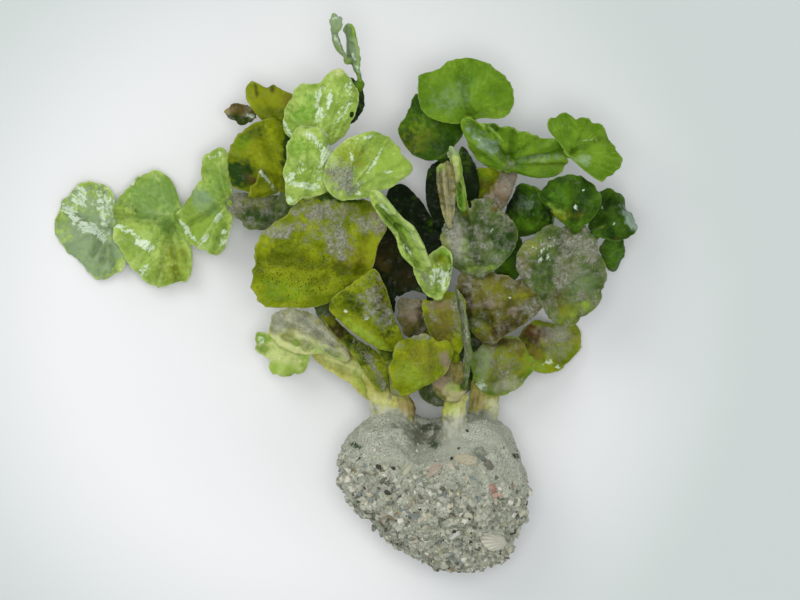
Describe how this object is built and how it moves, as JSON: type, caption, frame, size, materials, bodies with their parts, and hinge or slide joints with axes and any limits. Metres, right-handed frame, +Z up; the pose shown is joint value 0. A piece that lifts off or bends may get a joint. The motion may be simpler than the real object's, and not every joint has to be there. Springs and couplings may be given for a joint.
{
  "type": "halimeda seaweed",
  "caption": "Seaweed lying as collected: a ball of root-bound sand, flat stems and chains of flat, fan-shaped, chalky green leaves that overlap in a loose rosette.",
  "frame": {"origin": "on the surface it lies on, under the middle of its bounding box", "axes": "+X from the thin chain at its left to its right side, +Y from the holdfast to the leaf tips, +Z up from the surface it lies on"},
  "size_m": [0.1178, 0.112, 0.034],
  "materials": {
    "young_green": "gloss",
    "mid_green": "satin",
    "dark_green": "gloss",
    "olive": "satin",
    "grey_green": "satin",
    "brown_crust": "matte",
    "pale_stem": "matte",
    "sand": "matte"
  },
  "bodies": {
    "root": {"holdfast": "sand", "stem_left": "pale_stem", "stem_middle": "pale_stem", "stem_right": "pale_stem", "low_base_leaf": "brown_crust", "low_crusted_leaf": "olive", "low_pink_leaf": "brown_crust", "low_front_leaf": "olive", "low_edge_leaf": "grey_green", "low_olive_stalk": "olive", "low_olive_leaf": "olive", "centre_ribbon_foot": "young_green", "centre_ribbon_leaf": "young_green", "centre_dark_leaf": "dark_green", "centre_great_leaf": "olive", "centre_bumpy_leaf": "young_green", "centre_glossy_leaf": "young_green", "centre_fan_leaf": "young_green", "centre_link_leaf": "grey_green", "centre_under_leaf": "grey_green", "top_dark_leaf": "dark_green", "top_edge_leaf": "mid_green", "top_thin_leaf": "young_green", "top_bud": "young_green", "right_narrow_dark_leaf": "dark_green", "upper_right_under_leaf": "dark_green", "upper_right_long_leaf": "mid_green", "upper_right_big_leaf": "mid_green", "upper_right_outer_leaf": "mid_green", "lower_right_inner_leaf": "mid_green", "lower_right_outer_leaf": "olive", "right_brown_leaf": "brown_crust", "right_grey_leaf": "grey_green", "right_crusted_leaf": "grey_green", "right_shiny_leaf": "dark_green", "right_back_leaf": "dark_green", "right_folded_leaf": "dark_green", "right_hanging_leaf": "dark_green", "right_crusted_stalk": "brown_crust", "right_olive_leaf": "olive", "right_green_leaf": "dark_green", "right_tan_edge_leaf": "brown_crust", "right_green_edge_leaf": "young_green", "right_shade_leaf": "dark_green", "lower_left_pale_leaf": "pale_stem", "lower_left_furry_leaf": "pale_stem", "lower_left_tip": "young_green", "lower_left_strap": "olive", "left_chain_leaf_4": "grey_green", "left_chain_leaf_3": "young_green", "left_chain_leaf_2": "young_green", "left_chain_leaf_1": "young_green", "upper_left_round_leaf": "olive", "upper_left_lobed_leaf": "olive", "upper_left_tip": "brown_crust", "upper_left_stalk_leaf": "olive"}
  },
  "joints": []
}
